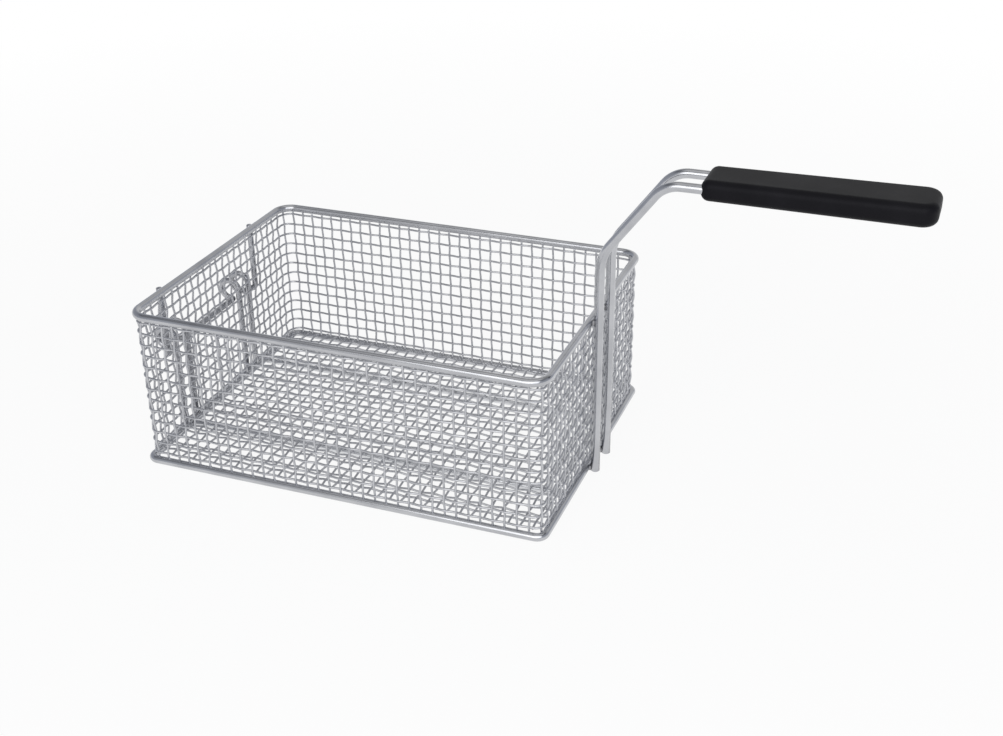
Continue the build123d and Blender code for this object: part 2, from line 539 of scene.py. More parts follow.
def smoothed_frames(line: Array, closed: bool) -> tuple[Array, Array, Array]:
    """Carry a pair of cross directions along a line without twist.

    Each step turns the last cross direction by the least turn that takes one
    tangent to the next.

    Args:
        line: Points of the centre line.
        closed: Whether the last point joins the first.

    Returns:
        The tangents, and two cross directions, at each point.
    """
    if closed:
        ahead, behind = np.roll(line, -1, axis=0), np.roll(line, 1, axis=0)
    else:
        ahead = np.vstack([line[1:], 2 * line[-1] - line[-2]])
        behind = np.vstack([2 * line[0] - line[1], line[:-1]])
    forward, back = ahead - line, line - behind
    forward /= np.linalg.norm(forward, axis=1, keepdims=True)
    back /= np.linalg.norm(back, axis=1, keepdims=True)
    tangent = forward + back
    tangent /= np.linalg.norm(tangent, axis=1, keepdims=True)
    first = np.eye(3)[np.argmin(np.abs(tangent[0]))]
    across = np.empty_like(line)
    across[0] = first - tangent[0] * (first @ tangent[0])
    across[0] /= np.linalg.norm(across[0])
    for i in range(1, len(line)):
        kept = across[i - 1] - tangent[i] * (across[i - 1] @ tangent[i])
        across[i] = kept / np.linalg.norm(kept)
    return tangent, across, np.cross(tangent, across)


def wire_skin(line: Array, radius: float, sides: int, closed: bool = False) -> Skin:
    """Carry a circle along a centre line.

    The surface is p(s, a) = c(s) + r (n(s) cos a + b(s) sin a), for the centre
    line c, its cross directions n and b, and angles a round the wire. An open
    wire ends in a short chamfer and a flat face.

    Args:
        line: Points of the centre line in millimetres.
        radius: Radius of the wire in millimetres.
        sides: Points round the wire.
        closed: Whether the wire is a ring.

    Returns:
        The skin, in metres.
    """
    tangent, normal, cross = smoothed_frames(line, closed)
    size = np.full(len(line), radius)
    if not closed:
        line = np.vstack([line[0], line[0] + tangent[0] * END_BEVEL, line[1:-1],
                          line[-1] - tangent[-1] * END_BEVEL, line[-1]])
        normal = np.vstack([normal[:1], normal, normal[-1:]])
        cross = np.vstack([cross[:1], cross, cross[-1:]])
        size = np.concatenate([[radius - END_BEVEL], size, [radius - END_BEVEL]])
    angle = np.linspace(0.0, 2 * np.pi, sides, endpoint=False)
    circle = (normal[:, None] * np.cos(angle)[None, :, None]
              + cross[:, None] * np.sin(angle)[None, :, None])
    points = line[:, None] + size[:, None, None] * circle
    steps = np.linalg.norm(np.diff(line, axis=0), axis=1)
    lay = np.empty_like(points)
    lay[..., 0] = np.concatenate([[0.0], np.cumsum(steps)])[:, None]
    lay[..., 1] = radius * np.cos(angle)
    lay[..., 2] = radius * np.sin(angle)
    count = len(line)
    faces = [grid_faces(count, sides, closed, True)]
    if not closed:
        ring = np.arange(sides)
        faces += [ring[None, ::-1], ring[None] + (count - 1) * sides]
    return Skin(points.reshape(-1, 3) * MM, faces, lay.reshape(-1, 3) * MM)


# The basket
@dataclass(frozen=True)
class FrameSizes:
    """Sizes of the welded frame that several sub-assemblies share, in millimetres."""

    length: float = 290.0
    width: float = 210.5
    rim_height: float = 113.0
    ring_radius: float = 2.75
    rim_corner: float = 12.0
    ring_corner: float = 6.0
    weld_gap: float = 0.2

    @property
    def half_length(self) -> float:
        """Half of the rings' length between wire centres."""
        return self.length / 2

    @property
    def half_width(self) -> float:
        """Half of the rings' width between wire centres."""
        return self.width / 2

    @property
    def ring_top(self) -> float:
        """Top of the bottom ring."""
        return 2 * self.ring_radius

    @property
    def rim_underside(self) -> float:
        """Lowest level of the rim wire."""
        return self.rim_height - self.ring_radius


class Piece:
    """Ways to hand a finished skin over to the frame."""

    @staticmethod
    def place(skin: Skin, name: str, node: Optional[str], slot: str,
              material: bpy.types.Material) -> bpy.types.Object:
        """Make a piece, dress it and fix it to the model.

        Args:
            skin: The surface of the piece.
            name: Its name.
            node: The node that it stands for, if any.
            slot: The record's material slot; not used.
            material: Its finish.

        Returns:
            The new object.
        """
        piece = skin.to_object(name)
        piece.data.materials.append(material)
        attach(piece, BODY)
        if node:
            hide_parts(node)
        count = sum((block.shape[1] - 2) * len(block) for block in skin.faces)
        log.info("%s: %d triangles", name, count)
        return piece


@dataclass
class Rings:
    """The rim and the bottom ring: closed rounded rectangles of wire."""

    sizes: FrameSizes
    sides: int = 28
    arc_step: float = 4.5

    def outline(self, height: float, corner: float) -> Array:
        """Draw the centre line of one ring.

        Args:
            height: Level of the wire's centre.
            corner: Radius of the corners.

        Returns:
            Points of a closed line, in millimetres.
        """
        x, y = self.sizes.half_length, self.sizes.half_width
        run = Run((0.0, -y, height), self.arc_step)
        corners = ((x, -y, height), (x, y, height), (-x, y, height), (-x, -y, height))
        run.through(corners, (0.0, -y, height), (corner,) * 4)
        return run.points()[:-1]

    def build(self, material: bpy.types.Material) -> None:
        """Make both rings.

        Args:
            material: Their finish.
        """
        sizes = self.sizes
        for node, height, corner in (
                ("top_rim", sizes.rim_height, sizes.rim_corner),
                ("bottom_ring", sizes.ring_radius, sizes.ring_corner)):
            line = self.outline(height, corner)
            skin = wire_skin(line, sizes.ring_radius, self.sides, closed=True)
            Piece.place(skin, f"{node}_wire", node, "plated_wire", material)


class Strand(Enum):
    """Which way a strand of the cloth runs."""

    UPRIGHT = "upright"
    ROUND = "round"
    LONG = "long"
    CROSS = "cross"


DRIFT_SEEDS = {Strand.UPRIGHT: 11, Strand.ROUND: 12, Strand.LONG: 13, Strand.CROSS: 14}


@dataclass
class WovenCloth:
    """Plain weave of crimped wire in the walls and the floor.

    A strand leaves the middle of the cloth by A cos(pi s / p), for its run s
    counted from a crossing and the pitch p of the strands that it crosses.
    Neighbours start on opposite sides, so at each crossing one strand lies
    over the other. The cloth is pressed flat and plated, so the lifts A of the
    two kinds add up to less than one thickness of the wire.
    """

    sizes: FrameSizes
    strand_radius: float = 0.76
    upright_lift: float = 0.48
    round_lift: float = 0.36
    floor_lift: float = 0.4
    inset: float = 1.0          # from the wire centres of the rings to the cloth's middle
    corner: float = 8.0
    into_ring: float = 1.0      # how far the uprights' ends go into the rings
    uprights: int = 118
    first_upright: float = 0.34  # in pitches, from the middle of the front
    rows: int = 13
    lowest_row: float = 8.4
    row_pitch: float = 8.31
    floor_level: float = 7.0
    floor_pitch: float = 8.3
    floor_margin: float = 1.9   # from the walls' middle to the ends of the floor's strands
    sides: int = 8
    steps: int = 6
    sway: float = 0.05
    drift_waves: int = 3
    drift_height: float = 0.5
    drift_limit: float = 1.4
    pattern_step: float = 1000.0

    def band(self, run: Array) -> tuple[Array, Array, Array]:
        """Find places on the outline of the walls.

        The outline is a rounded rectangle. A run along it falls on a straight
        side, where the point is the side's start plus the rest of the run, or
        on a quarter circle, where it is the circle's centre plus the radius
        along the outward direction.

        Args:
            run: Distances along the outline from the middle of the front.

        Returns:
            Points, outward directions and directions of travel, in the plan.
        """
        x = self.sizes.half_length - self.inset
        y = self.sizes.half_width - self.inset
        r = self.corner
        arc = np.pi * r / 2
        legs = [x - r, arc, 2 * (y - r), arc, 2 * (x - r), arc, 2 * (y - r), arc, x - r]
        start = np.concatenate([[0.0], np.cumsum(legs)])
        run = np.mod(run, start[-1])
        part = np.clip(np.searchsorted(start, run, side="right") - 1, 0, len(legs) - 1)
        along = run - start[part]
        is_arc = part % 2 == 1
        turn = part // 2 * (np.pi / 2) + np.where(is_arc, along / r, 0.0)
        travel = np.stack([np.cos(turn), np.sin(turn)], axis=-1)
        outward = np.stack([np.sin(turn), -np.cos(turn)], axis=-1)
        flat_starts = ((0, -y), (x, r - y), (x - r, y), (-x, y - r), (r - x, -y))
        arc_centres = ((x - r, r - y), (x - r, y - r), (r - x, y - r), (r - x, r - y))
        bases = np.empty((len(legs), 2))
        bases[0::2], bases[1::2] = flat_starts, arc_centres
        point = bases[part] + np.where(is_arc[:, None], outward * r, travel * along[:, None])
        return point, outward, travel

    @property
    def perimeter(self) -> float:
        """Length of the outline of the walls."""
        x = self.sizes.half_length - self.inset - self.corner
        y = self.sizes.half_width - self.inset - self.corner
        return 4 * x + 4 * y + 2 * np.pi * self.corner

    def tube_field(self, centre: Array, normal: Array, cross: Array, run: Array,
                   closed: bool) -> Skin:
        """Put a circle round every point of a field of centre lines.

        Each line starts one pattern step further along the draw lines of the
        finish, so that no two strands look the same.

        Args:
            centre: Centre lines, one per row: (lines, steps, 3).
            normal: First cross direction at each point.
            cross: Second cross direction at each point.
            run: Distance along each line: (lines, steps).
            closed: Whether every line is a ring.

        Returns:
            The skin of all lines, in metres.
        """
        lines, steps = centre.shape[:2]
        angle = np.linspace(0.0, 2 * np.pi, self.sides, endpoint=False)
        cos, sin = np.cos(angle)[:, None], np.sin(angle)[:, None]
        circle = normal[:, :, None] * cos + cross[:, :, None] * sin
        points = centre[:, :, None] + self.strand_radius * circle
        lay = np.empty_like(points)
        lay[..., 0] = run[:, :, None] + self.pattern_step * np.arange(lines)[:, None, None]
        lay[..., 1] = self.strand_radius * np.cos(angle)
        lay[..., 2] = self.strand_radius * np.sin(angle)
        one = grid_faces(steps, self.sides, closed, True)
        shift = (np.arange(lines) * steps * self.sides)[:, None, None]
        faces = [(one[None] + shift).reshape(-1, 4)]
        if not closed:
            ring = np.arange(self.sides)[None]
            starts = (np.arange(lines) * steps * self.sides)[:, None]
            last = starts + (steps - 1) * self.sides
            faces += [(ring + starts)[:, ::-1], ring + last]
        return Skin(points.reshape(-1, 3) * MM, faces, lay.reshape(-1, 3) * MM)

    @staticmethod
    def sides_of(lines: int) -> Array:
        """Give 1 and -1 in turn, the side on which each strand starts."""
        return np.where(np.arange(lines) % 2 == 0, 1.0, -1.0)[:, None]

    def outline_frames(self, run: Array) -> tuple[Array, Array, Array]:
        """Find places on the walls' outline, with their directions in space.

        Args:
            run: Distances along the outline from the middle of the front.

        Returns:
            Points in the plan, outward directions and directions of travel.
        """
        point, outward, travel = self.band(run)
        level = np.zeros((len(run), 1))
        return point, np.hstack([outward, level]), np.hstack([travel, level])

    def wall_uprights(self) -> Skin:
        """Weave the upright strands of the walls.

        Returns:
            The skin of all of them.
        """
        low = self.sizes.ring_top - self.into_ring
        high = self.sizes.rim_underside + self.into_ring
        count = round((high - low) / self.row_pitch * self.steps) + 1
        height = np.linspace(low, high, count)
        pitch = self.perimeter / self.uprights
        place = (np.arange(self.uprights) + self.first_upright) * pitch
        point, out, way = self.outline_frames(place)
        lift = self.upright_lift * self.sides_of(self.uprights)
        phase = np.pi * (height - self.lowest_row) / self.row_pitch
        off = lift * np.cos(phase)[None]
        slope = -lift * np.sin(phase)[None] * np.pi / self.row_pitch
        lean = self.drift(self.uprights, count, Strand.UPRIGHT) * self.sway
        centre = np.empty((self.uprights, count, 3))
        centre[..., :2] = point[:, None]
        centre[..., 2] = height[None]
        centre += out[:, None] * off[..., None] + way[:, None] * lean[..., None]
        bend = np.sqrt(1 + slope ** 2)[..., None]
        normal = (out[:, None] - UP * slope[..., None]) / bend
        cross = np.broadcast_to(way[:, None], normal.shape)
        run = np.broadcast_to(height[None], slope.shape)
        return self.tube_field(centre, normal, cross, run, False)

    def wall_rounds(self) -> Skin:
        """Weave the strands that go round the walls.

        Returns:
            The skin of all of them.
        """
        count = self.uprights * self.steps
        place = np.arange(count) * (self.perimeter / count)
        point, out, way = self.outline_frames(place)
        pitch = self.perimeter / self.uprights
        lift = self.round_lift * self.sides_of(self.rows)
        phase = np.pi * (place / pitch - self.first_upright)
        off = -lift * np.cos(phase)[None]
        slope = lift * np.sin(phase)[None] * np.pi / pitch
        level = self.lowest_row + self.row_pitch * np.arange(self.rows)
        wander = self.drift(self.rows, count, Strand.ROUND) * self.sway
        centre = np.empty((self.rows, count, 3))
        centre[..., :2] = point[None]
        centre[..., 2] = level[:, None] + wander
        centre += out[None] * off[..., None]
        bend = np.sqrt(1 + slope ** 2)[..., None]
        normal = (out[None] - way[None] * slope[..., None]) / bend
        cross = np.broadcast_to(UP, normal.shape)
        run = np.broadcast_to(place[None], slope.shape)
        return self.tube_field(centre, normal, cross, run, True)

    def drift(self, lines: int, steps: int, kind: Strand) -> Array:
        """Give every strand a slow wander, as loose cloth has.

        It is a sum of sine waves of whole periods with random phases, so a
        strand that closes on itself meets its own start.

        Args:
            lines: Number of strands.
            steps: Points along each.
            kind: Which strands they are, for the random draws.

        Returns:
            A field of values of about -1 to 1.
        """
        random = np.random.default_rng(DRIFT_SEEDS[kind])
        along = np.arange(steps)[None] / steps * 2 * np.pi
        total = np.zeros((lines, steps))
        for waves in range(1, self.drift_waves + 1):
            phase = random.uniform(0, 2 * np.pi, (lines, 1))
            height = random.normal(0, self.drift_height, (lines, 1))
            total += height * np.sin(waves * along + phase)
        return np.clip(total, -self.drift_limit, self.drift_limit)

    def floor(self, kind: Strand) -> Skin:
        """Weave the floor strands that run along the basket or across it.

        Args:
            kind: LONG or CROSS.

        Returns:
            The skin of all strands of that kind.
        """
        reach_x = self.sizes.half_length - self.inset - self.floor_margin
        reach_y = self.sizes.half_width - self.inset - self.floor_margin
        is_long = kind is Strand.LONG
        own, other = (reach_x, reach_y) if is_long else (reach_y, reach_x)
        lines = 2 * math.floor(other / self.floor_pitch - 0.5) + 2
        place = (np.arange(lines) - (lines - 1) / 2) * self.floor_pitch
        count = round(2 * own / self.floor_pitch * self.steps) + 1
        along = np.linspace(-own, own, count)
        lift = self.floor_lift * self.sides_of(lines) * (1.0 if is_long else -1.0)
        phase = np.pi * (along / self.floor_pitch - 0.5)
        off = lift * np.cos(phase)[None]
        slope = -lift * np.sin(phase)[None] * np.pi / self.floor_pitch
        first, second = (0, 1) if is_long else (1, 0)
        centre = np.empty((lines, count, 3))
        centre[..., first] = along[None]
        centre[..., second] = place[:, None] + self.drift(lines, count, kind) * self.sway
        centre[..., 2] = self.floor_level + off
        ahead = np.eye(3)[first]
        bend = np.sqrt(1 + slope ** 2)[..., None]
        normal = (UP - ahead * slope[..., None]) / bend
        cross = np.broadcast_to(np.cross(UP, ahead), normal.shape)
        run = np.broadcast_to(along[None], slope.shape)
        return self.tube_field(centre, normal, cross, run, False)

    def build(self, material: bpy.types.Material) -> None:
        """Make the strands of the walls and the floor.

        Args:
            material: Their finish.
        """
        for kind, skin in ((Strand.UPRIGHT, self.wall_uprights()),
                           (Strand.ROUND, self.wall_rounds())):
            Piece.place(skin, f"wall_{kind.value}_strands", "wall_mesh",
                        "plated_cloth", material)
        for kind in (Strand.LONG, Strand.CROSS):
            Piece.place(self.floor(kind), f"floor_{kind.value}_strands", "floor_mesh",
                        "plated_cloth", material)


@dataclass
class Runners:
    """The two straight wires under the floor."""

    sizes: FrameSizes
    radius: float = 2.0
    offset: float = 52.0
    stretches: int = 4
    sides: int = 20

    @property
    def level(self) -> float:
        """Height of the runners' middles, just under the floor."""
        return self.sizes.ring_top - self.sizes.weld_gap - self.radius

    def build(self, material: bpy.types.Material) -> None:
        """Make both runners.

        Args:
            material: Their finish.
        """
        sizes = self.sizes
        reach = sizes.half_length - sizes.ring_radius - sizes.weld_gap
        for side, node in zip(SIDES, ("front_runner", "back_runner")):
            line = np.array([[x, side * self.offset, self.level]
                             for x in np.linspace(-reach, reach, self.stretches + 1)])
            skin = wire_skin(line, self.radius, self.sides)
            Piece.place(skin, f"{node}_wire", node, "plated_wire", material)


@dataclass
class Hanger:
    """The three bent wires of the drain hooks at the end wall."""

    sizes: FrameSizes
    radius: float = 2.25
    inner_offset: float = 37.0
    outer_offset: float = 51.0
    upright_offset: float = 61.5
    hook_height: float = 69.0
    hook_radius: float = 7.2
    turn_radius: float = 2.4
    upright_rise: float = 0.5
    foot: float = 0.6
    hook_turn: float = 270.0
    arc_step: float = 8.0
    sides: int = 20

    @property
    def leg_x(self) -> float:
        """Where the legs stand, outside the end wall."""
        sizes = self.sizes
        return -(sizes.half_length + sizes.ring_radius + sizes.weld_gap + self.radius)

    @property
    def bar_x(self) -> float:
        """Where the cross bar and the short bars lie, behind the legs."""
        return self.leg_x - 2 * self.radius - self.sizes.weld_gap

    @property
    def bar_level(self) -> float:
        """Height of the cross bar and the short bars."""
        return self.hook_height - self.hook_radius

    def hook(self, offset: float) -> Run:
        """Draw a leg and the hook over its top.

        Args:
            offset: Where they stand across the basket.

        Returns:
            The line, which ends under the hook.
        """
        run = Run((self.leg_x, offset, self.foot), self.arc_step)
        run.straight((self.leg_x, offset, self.hook_height))
        centre = (self.leg_x - self.hook_radius, offset, self.hook_height)
        return run.arc(centre, (0.0, -1.0, 0.0), self.hook_turn)

    def bar_line(self) -> Array:
        """Draw the wire with two hooks and the cross bar between them.

        Returns:
            Points of the line, in millimetres.
        """
        half = self.hook(-self.inner_offset)
        half.through([(self.bar_x, -self.inner_offset, self.bar_level)],
                     (self.bar_x, 0.0, self.bar_level), [self.turn_radius])
        first = half.points()
        second = first[::-1][1:] * (1.0, -1.0, 1.0)
        return np.vstack([first, second])

    def side_line(self, side: int) -> Array:
        """Draw the wire with one hook and the upright to the rim.

        Args:
            side: -1 for the front wire, 1 for the back one.

        Returns:
            Points of the line, in millimetres.
        """
        top = self.sizes.rim_height + self.upright_rise
        run = self.hook(side * self.outer_offset)
        corners = [(self.bar_x, side * self.outer_offset, self.bar_level),
                   (self.leg_x, side * self.upright_offset, self.bar_level)]
        run.through(corners, (self.leg_x, side * self.upright_offset, top),
                    [self.turn_radius] * 2)
        return run.points()

    def build(self, material: bpy.types.Material) -> None:
        """Make the three wires.

        Args:
            material: Their finish.
        """
        for node, line in (("hanger_bar", self.bar_line()),
                           ("front_hanger", self.side_line(-1)),
                           ("back_hanger", self.side_line(1))):
            skin = wire_skin(line, self.radius, self.sides)
            Piece.place(skin, f"{node}_wire", node, "plated_wire", material)


@dataclass
class HandleRod:
    """The hairpin of rod that carries the grip."""

    sizes: FrameSizes
    radius: float = 3.1
    spacing: float = 25.0
    knee_height: float = 160.0
    shoulder_reach: float = 39.3
    height: float = 212.2
    knee_radius: float = 30.0
    shoulder_radius: float = 20.0
    return_radius: float = 11.5
    grip_setback: float = 61.6
    grip_length: float = 138.2
    grip_cover: float = 8.0
    foot: float = 0.6
    arc_step: float = 4.0
    sides: int = 28

    @property
    def x(self) -> float:
        """Where the legs of the rod stand."""
        sizes = self.sizes
        return sizes.half_length + sizes.ring_radius + sizes.weld_gap + self.radius

    def line(self) -> Array:
        """Draw the centre line from one foot to the other.

        Returns:
            Points of the line, in millimetres.
        """
        y, x = self.spacing / 2, self.x
        shoulder = x + self.shoulder_reach
        turn = x + self.grip_setback + self.grip_length - self.grip_cover - self.radius
        run = Run((x, -y, self.foot), self.arc_step)
        corners = [(x, -y, self.knee_height), (shoulder, -y, self.height),
                   (turn, -y, self.height), (turn, y, self.height),
                   (shoulder, y, self.height), (x, y, self.knee_height)]
        radii = [self.knee_radius, self.shoulder_radius, self.return_radius]
        run.through(corners, (x, y, self.foot), radii + radii[::-1])
        return run.points()

    def build(self, material: bpy.types.Material) -> None:
        """Make the rod."""
        skin = wire_skin(self.line(), self.radius, self.sides)
        Piece.place(skin, "handle_rod_wire", "handle_rod", "plated_wire", material)


@dataclass
class Grip:
    """The moulded sleeve over the closed end of the rod.

    From above it is a tapered bar with rounded corners. Its long edges are
    rounded by a ball of radius e: where the ball has turned by a from the flat
    face to the side, the outline is drawn in by e (1 - sin a) and lies
    e (1 - cos a) from the face. The top slopes up towards the free end.
    """

    rod: HandleRod
    width: float = 34.5
    end_width: float = 38.0
    thickness: float = 13.4
    rise: float = 1.0
    near_corner: float = 5.5
    end_corner: float = 10.0
    edge: float = 5.0
    flat_share: float = 0.97    # size of a ring of points that keeps the flat faces flat
    corner_steps: int = 14
    edge_steps: int = 10
    side_steps: int = 24

    @property
    def start(self) -> float:
        """The near face, which the rod goes into."""
        return self.rod.x + self.rod.grip_setback

    @property
    def end(self) -> float:
        """The free end."""
        return self.start + self.rod.grip_length

    def outline(self, inset: float) -> Array:
        """Draw the plan, drawn in by a distance.

        A corner of radius r between sides with outward normals m and n has its
        centre at the sharp corner less r (m + n) / (1 + m . n). Drawing in
        keeps the centres and takes the distance off the radii.

        Args:
            inset: How far the outline is drawn in, in millimetres.

        Returns:
            Points of a closed line, as (x, y).
        """
        near, far = self.width / 2, self.end_width / 2
        sharp = np.array([(self.start, -near), (self.end, -far),
                          (self.end, far), (self.start, near)])
        side = np.roll(sharp, -1, axis=0) - sharp
        after = np.stack([side[:, 1], -side[:, 0]], axis=1)
        after /= np.linalg.norm(after, axis=1, keepdims=True)
        before = np.roll(after, 1, axis=0)
        radius = np.array([self.near_corner, self.end_corner,
                           self.end_corner, self.near_corner])[:, None]
        facing = np.sum(before * after, axis=1, keepdims=True)
        centre = sharp - radius * (before + after) / (1 + facing)
        first = np.arctan2(before[:, 1], before[:, 0])[:, None]
        last = np.arctan2(after[:, 1], after[:, 0])[:, None]
        turned = np.mod(last - first, 2 * np.pi)
        angle = first + turned * np.linspace(0.0, 1.0, self.corner_steps)[None]
        around = np.stack([np.cos(angle), np.sin(angle)], axis=-1)
        arcs = centre[:, None] + (radius - inset)[:, None] * around
        share = np.linspace(0.0, 1.0, self.side_steps + 1)[1:-1, None]
        nexts = np.roll(arcs, -1, axis=0)[:, :1]
        sides = arcs[:, -1:] + (nexts - arcs[:, -1:]) * share[None]
        return np.concatenate([arcs, sides], axis=1).reshape(-1, 2)

    def skin(self) -> Skin:
        """Build the closed surface of the sleeve, from below to above.

        Returns:
            The skin, in metres.
        """
        angle = np.linspace(0.0, np.pi / 2, self.edge_steps)
        inset = self.edge * (1 - np.sin(angle))
        depth = self.edge * (1 - np.cos(angle))
        rounding = np.stack([self.outline(value) for value in inset])
        middle = np.array([(self.start + self.end) / 2, 0.0])
        flat = middle + (rounding[:1] - middle) * self.flat_share
        half = np.concatenate([flat, rounding])
        depth = np.concatenate([[0.0], depth])[:, None]
        slope = self.rise * (half[..., 0] - self.start) / (self.end - self.start)
        under = np.broadcast_to(self.rod.height - self.thickness / 2 + depth, slope.shape)
        over = self.rod.height + self.thickness / 2 - depth + slope
        lower = np.concatenate([half, under[..., None]], axis=-1)
        upper = np.concatenate([half, over[..., None]], axis=-1)[::-1]
        points = np.concatenate([lower, upper])
        count, around = points.shape[:2]
        ring = np.arange(around)
        faces = [grid_faces(count, around, False, True),
                 ring[None, ::-1], ring[None] + (count - 1) * around]
        return Skin(points.reshape(-1, 3) * MM, faces)

    def build(self, material: bpy.types.Material) -> None:
        """Make the sleeve."""
        Piece.place(self.skin(), "grip_sleeve", "grip", "grip_plastic", material)


@dataclass
class Welds:
    """Beads of weld metal where the wires are joined.

    A bead is an egg about a centre c: p(a, b) = c + m (sin a cos b,
    sin a sin b, cos a), for the half sizes m along X, Y and Z, with a low
    ripple round it and from end to end. Two beads lie at a joint, one on each
    side of the wire that is welded on, and one at each end of a runner.
    """

    sizes: FrameSizes
    hanger: Hanger
    rod: HandleRod
    runners: Runners
    handle_bead: tuple[float, float, float] = (1.1, 1.3, 2.0)
    hanger_bead: tuple[float, float, float] = (0.6, 0.9, 1.3)
    runner_bead: tuple[float, float, float] = (0.8, 1.9, 1.7)
    handle_spread: float = 1.6
    hanger_spread: float = 1.1
    waves_round: int = 3
    waves_along: int = 5
    ripple_round: float = 0.07
    ripple_along: float = 0.05
    first_seed: int = 101
    rings: int = 9
    around: int = 14

    def bead(self, centre: Sequence[float], size: Sequence[float], seed: int) -> Skin:
        """Build one bead.

        Args:
            centre: Its middle in millimetres.
            size: Half sizes along X, Y and Z.
            seed: Start of the random draws of its ripple.

        Returns:
            The skin, in metres.
        """
        random = np.random.default_rng(seed)
        polar = np.linspace(0.0, np.pi, self.rings + 2)[1:-1][:, None]
        azimuth = np.linspace(0.0, 2 * np.pi, self.around, endpoint=False)[None]
        turned, shifted = random.uniform(0, 2 * np.pi, 2)
        ripple = 1 + self.ripple_along * np.sin(self.waves_along * polar + shifted) + (
            self.ripple_round * np.sin(self.waves_round * azimuth + turned) * np.sin(polar))
        x = np.sin(polar) * np.cos(azimuth) * ripple
        y = np.sin(polar) * np.sin(azimuth) * ripple
        z = np.cos(polar) * np.ones_like(azimuth)
        shell = np.stack([x, y, z], axis=-1).reshape(-1, 3)
        points = np.vstack([shell, [[0, 0, 1.0]], [[0, 0, -1.0]]])
        points = points * np.asarray(size) + np.asarray(centre)
        body = grid_faces(self.rings, self.around, False, True)[:, ::-1]
        ring = np.arange(self.around)
        after = (ring + 1) % self.around
        top = len(shell)
        low = (self.rings - 1) * self.around
        caps = np.concatenate([
            np.stack([ring, after, np.full_like(ring, top)], axis=1),
            np.stack([low + after, low + ring, np.full_like(ring, top + 1)], axis=1)])
        return Skin(points * MM, [body, caps])

    def spots(self) -> Iterator[tuple[tuple[float, float, float], Sequence[float]]]:
        """Go through the beads between heavy wires.

        Yields:
            The centre and the half sizes of each bead, in millimetres.
        """
        sizes, hanger, rod = self.sizes, self.hanger, self.rod
        gap = sizes.weld_gap
        seam = sizes.half_length + sizes.ring_radius + gap / 2
        for side in SIDES:
            for level in (sizes.ring_radius, sizes.rim_height):
                for part in SIDES:
                    y = side * rod.spacing / 2 + part * self.handle_spread
                    yield (seam, y, level), self.handle_bead
        for side in SIDES:
            for offset, level in ((hanger.inner_offset, sizes.ring_radius),
                                  (hanger.outer_offset, sizes.ring_radius),
                                  (hanger.upright_offset, sizes.rim_height)):
                for part in SIDES:
                    y = side * offset + part * self.hanger_spread
                    yield (-seam, y, level), self.hanger_bead
        reach = sizes.half_length - sizes.ring_radius - gap / 2
        for side in SIDES:
            for way in SIDES:
                y = side * self.runners.offset
                yield (way * reach, y, self.runners.level), self.runner_bead

    def build(self, material: bpy.types.Material) -> None:
        """Make all beads as one piece.

        Args:
            material: Their finish.
        """
        beads = [self.bead(centre, size, seed)
                 for seed, (centre, size) in enumerate(self.spots(), self.first_seed)]
        Piece.place(Skin.joined(beads), "weld_beads", None, "plated_wire", material)


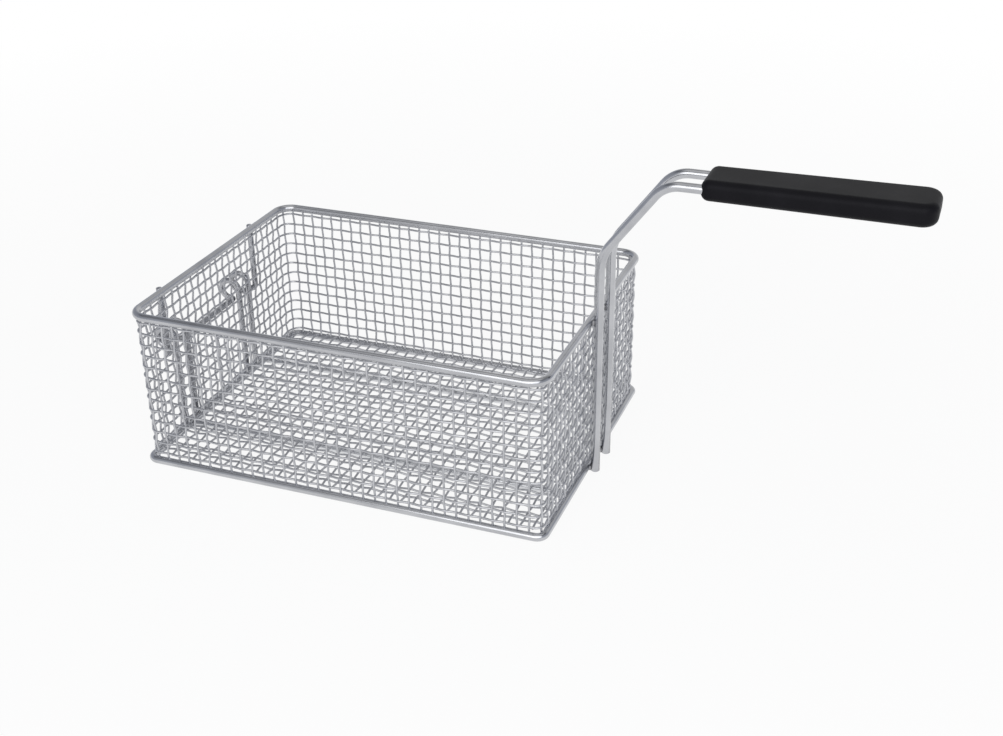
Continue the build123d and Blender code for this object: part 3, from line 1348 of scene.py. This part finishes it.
# Studio
@dataclass
class Studio:
    """Floor, light and camera of the product picture, in metres.

    The room that the wire mirrors has levels of grey from the ground to the
    ceiling. A dark band high up gives the wires their crisp lines, and walls
    of a darker, bluer grey stand at the left and the right.
    """

    camera_place: tuple[float, float, float] = (0.37786, -0.78325, 0.50312)
    camera_aim: tuple[float, float, float] = (0.07768, 0.00132, 0.060)
    camera_roll: float = -0.651
    camera_clip: tuple[float, float] = (0.05, 50.0)
    lens: float = 49.225
    sensor: float = 36.0
    floor_size: float = 6.0
    floor_grey: float = 0.88
    clear_radius: float = 0.35
    fade_width: float = 0.9
    near_white: float = 0.91
    room_levels: tuple[tuple[float, float], ...] = (
        (0.0, 0.88), (0.30, 0.76), (0.66, 0.60), (0.72, 0.34), (0.84, 0.34), (0.90, 0.76))
    wall_tints: tuple[tuple[float, Colour], ...] = (
        (0.10, (1.0, 1.0, 1.0)), (0.32, (0.62, 0.645, 0.71)))

    @staticmethod
    def seen(graph: Graph) -> Term:
        """Give 1 to rays that show the backdrop, straight or in a gloss.

        Args:
            graph: The graph to add the nodes to.

        Returns:
            1 for camera, glossy and transmission rays, and 0 for others.
        """
        kinds = [graph.add("ShaderNodeLightPath", None, None, kind)
                 for kind in ("Is Camera Ray", "Is Glossy Ray", "Is Transmission Ray")]
        return (kinds[0] + kinds[1] + kinds[2]).held()

    @staticmethod
    def facing(place: Sequence[float], aim: Sequence[float], roll: float = 0.0) -> Matrix:
        """Work out the stance of a lamp or a camera that faces a point.

        Args:
            place: Where it stands.
            aim: The point that it faces.
            roll: Its turn about the line of sight, in degrees.

        Returns:
            Its matrix in the world.
        """
        ahead = np.subtract(aim, place)
        ahead /= np.linalg.norm(ahead)
        right = np.cross(ahead, UP)
        right /= np.linalg.norm(right)
        up = np.cross(right, ahead)
        cos, sin = math.cos(math.radians(roll)), math.sin(math.radians(roll))
        axes = (right * cos + up * sin, up * cos - right * sin, -ahead)
        turn = Matrix(np.stack(axes, axis=1).tolist()).to_4x4()
        return Matrix.Translation(place) @ turn

    def camera(self) -> None:
        """Set the camera at the picture's viewing angle."""
        data = bpy.data.cameras.new("picture_camera")
        data.lens = self.lens
        data.sensor_width = self.sensor
        data.clip_start, data.clip_end = self.camera_clip
        camera = bpy.data.objects.new("picture_camera", data)
        bpy.context.scene.collection.objects.link(camera)
        camera.matrix_world = self.facing(self.camera_place, self.camera_aim,
                                          self.camera_roll)
        bpy.context.scene.camera = camera

    def floor(self) -> None:
        """Lay a pale floor whose far parts fade into the white backdrop."""
        size = self.floor_size
        mesh = bpy.data.meshes.new("studio_floor")
        corners = [(-size, -size, 0), (size, -size, 0), (size, size, 0), (-size, size, 0)]
        mesh.from_pydata(corners, [], [(0, 1, 2, 3)])
        material = bpy.data.materials.new("studio_floor")
        graph = Graph(material)
        place = graph.add("ShaderNodeTexCoord", None, None, "Object")
        far = graph.add("ShaderNodeVectorMath", {"operation": "LENGTH"}, {0: place}, "Value")
        fade = ((far - self.clear_radius) / self.fade_width).held()
        share = self.near_white + (1.0 - self.near_white) * fade
        matt = graph.add("ShaderNodeBsdfDiffuse", None,
                         {"Color": (*grey(self.floor_grey), 1.0)})
        white = graph.add("ShaderNodeEmission", None, {"Color": (1, 1, 1, 1), "Strength": 1.0})
        mix = graph.add("ShaderNodeMixShader", None,
                        {0: share * self.seen(graph), 1: matt, 2: white})
        graph.add("ShaderNodeOutputMaterial", None, {"Surface": mix})
        mesh.materials.append(material)
        floor = bpy.data.objects.new("studio_floor", mesh)
        bpy.context.scene.collection.objects.link(floor)

    def backdrop(self) -> None:
        """Give the world white for what is seen, and soft light for the rest."""
        world = bpy.data.worlds.new("studio")
        bpy.context.scene.world = world
        graph = Graph(world)
        way = graph.add("ShaderNodeTexCoord", None, None, "Generated")
        upward, sideways = [graph.add("ShaderNodeSeparateXYZ", None, {0: way}, axis)
                            for axis in ("Z", "X")]
        levels = [(height, grey(level)) for height, level in self.room_levels]
        room = graph.add("ShaderNodeMix", {"data_type": "RGBA", "blend_type": "MULTIPLY"},
                         {"Factor": 1.0, 6: graph.ramp(upward, levels),
                          7: graph.ramp(sideways * sideways, self.wall_tints)}, 2)
        camera = graph.add("ShaderNodeLightPath", None, None, "Is Camera Ray")
        colour = graph.blend(camera, room, (1.0, 1.0, 1.0, 1.0))
        sky = graph.add("ShaderNodeBackground", None, {"Color": colour, "Strength": 1.0})
        graph.add("ShaderNodeOutputWorld", None, {"Surface": sky})

    def lamp(self, name: str, place: Sequence[float], aim: Sequence[float],
             size: tuple[float, float], power: float) -> None:
        """Hang one soft lamp.

        Args:
            name: Its name.
            place: Its middle.
            aim: The point that it faces.
            size: Width and height of the light.
            power: Its power in watts.
        """
        data = bpy.data.lights.new(name, "AREA")
        data.shape = "RECTANGLE"
        data.size, data.size_y = size
        data.energy = power
        lamp = bpy.data.objects.new(name, data)
        bpy.context.scene.collection.objects.link(lamp)
        lamp.matrix_world = self.facing(place, aim)

    def build(self) -> None:
        """Set up camera, floor, backdrop and lamps."""
        self.camera()
        self.floor()
        self.backdrop()
        self.lamp("front_softbox", place=(0.44, -1.14, 0.86), aim=(0.05, 0.0, 0.05),
                  size=(2.0, 1.2), power=12.0)
        bpy.context.scene.view_settings.view_transform = "Standard"


def main() -> None:
    """Build every sub-assembly in order."""
    logging.basicConfig(level=logging.INFO, format="%(name)s %(message)s")
    Studio().build()
    plating = {finish: finish.value.make() for finish in WireFinish}
    weld = WeldMetal().make()
    plastic = GripPlastic().make()
    sizes = FrameSizes()
    rod, hanger, runners = HandleRod(sizes), Hanger(sizes), Runners(sizes)
    Rings(sizes).build(plating[WireFinish.FRAME])
    WovenCloth(sizes).build(plating[WireFinish.CLOTH_PAINTED_LIGHT])
    runners.build(plating[WireFinish.RUNNER_PAINTED_LIGHT])
    hanger.build(plating[WireFinish.HANGER_PAINTED_SHADE])
    rod.build(plating[WireFinish.FRAME])
    Grip(rod).build(plastic)
    Welds(sizes, hanger, rod, runners).build(weld)


if __name__ == "__main__":
    main()
